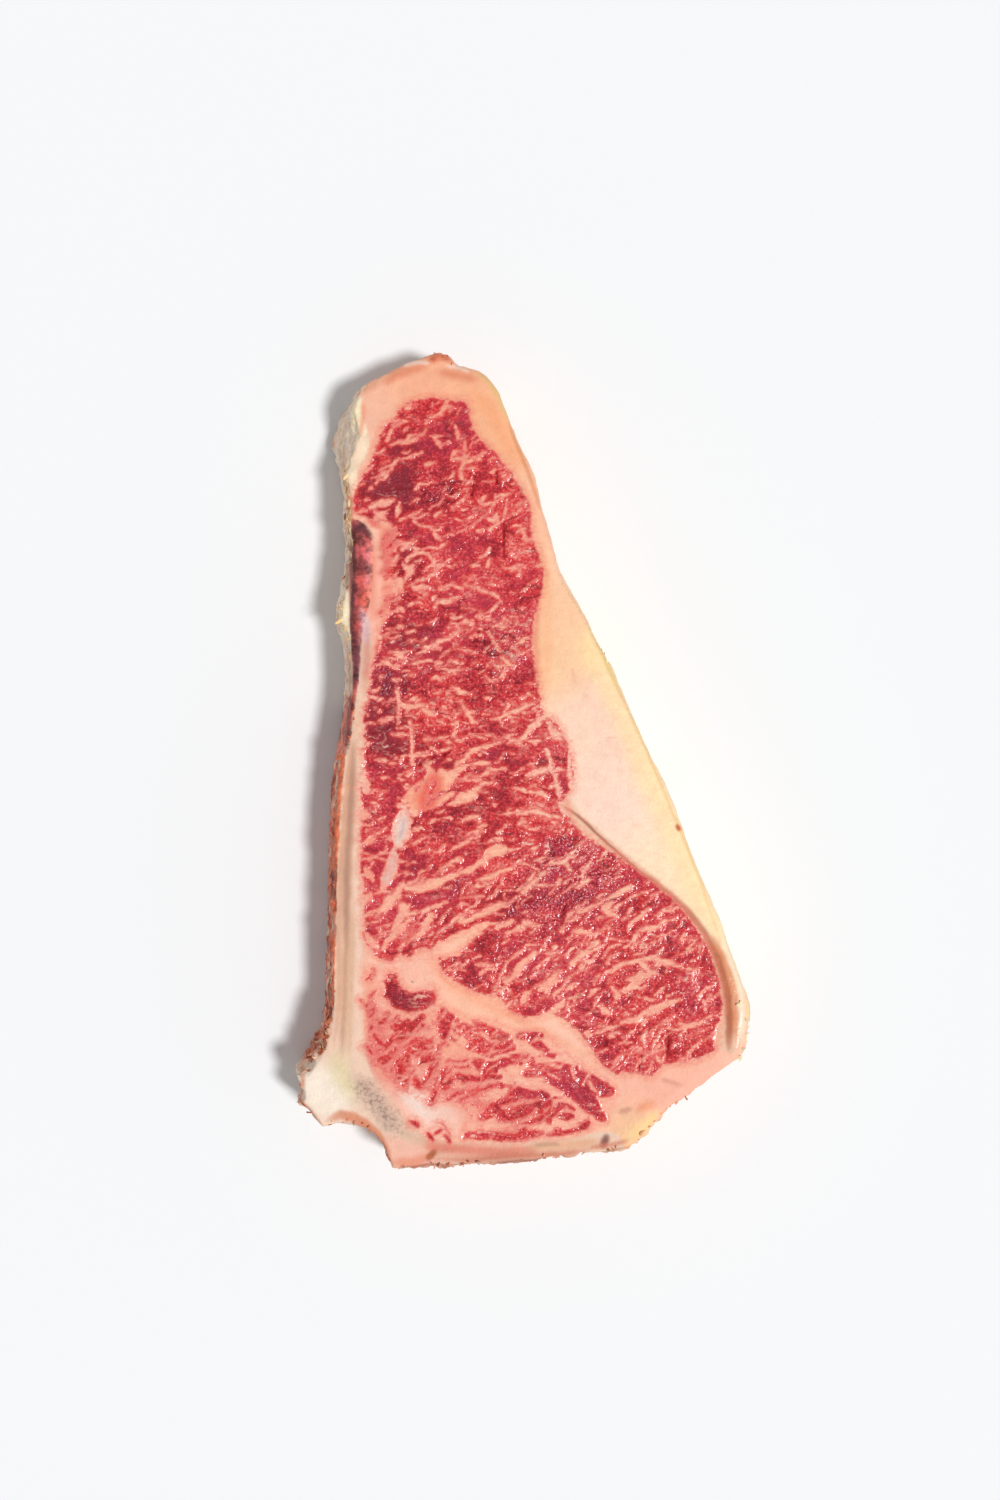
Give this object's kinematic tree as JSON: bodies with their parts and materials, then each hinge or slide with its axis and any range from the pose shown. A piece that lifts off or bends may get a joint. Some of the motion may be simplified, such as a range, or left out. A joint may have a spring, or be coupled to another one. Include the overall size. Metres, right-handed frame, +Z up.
{
  "type": "raw bone-in sirloin steak",
  "caption": "Raw bone-in sirloin steak: a marbled loin muscle with its rib bone down one side, a fat cap down the other and smaller muscles at the broad end.",
  "frame": {"origin": "under the middle of the steak's box, on the surface it lies on", "axes": "+Z up out of the cut face, +Y towards the narrow end, +X towards the fat edge, so the bone runs down the -X side"},
  "size_m": [0.1796, 0.3194, 0.036],
  "materials": {
    "lean": "moist raw lean beef, marbled, satin to wet gloss",
    "fat": "smooth cream-pink fat, slightly waxy",
    "bone": "sawn bone, matt with a damp sheen",
    "skin": "dry cream fat and skin, torn edge",
    "membrane": "dark dried membrane, slightly glossy",
    "dried_meat": "rough red-brown scraps of meat on the outside of the bone",
    "sinew": "brown-grey band of sinew"
  },
  "bodies": {
    "root": {"skin_flap": "skin", "flank_rim": "skin", "dry_membrane": "membrane", "side_meat": "dried_meat", "bone": "bone", "loin_eye": "lean", "cap_muscle": "lean", "sinew": "sinew", "corner_muscle": "lean", "lower_muscle": "lean", "seam_fat": "fat", "flank_fat": "fat", "fat_cap": "fat"}
  },
  "joints": []
}
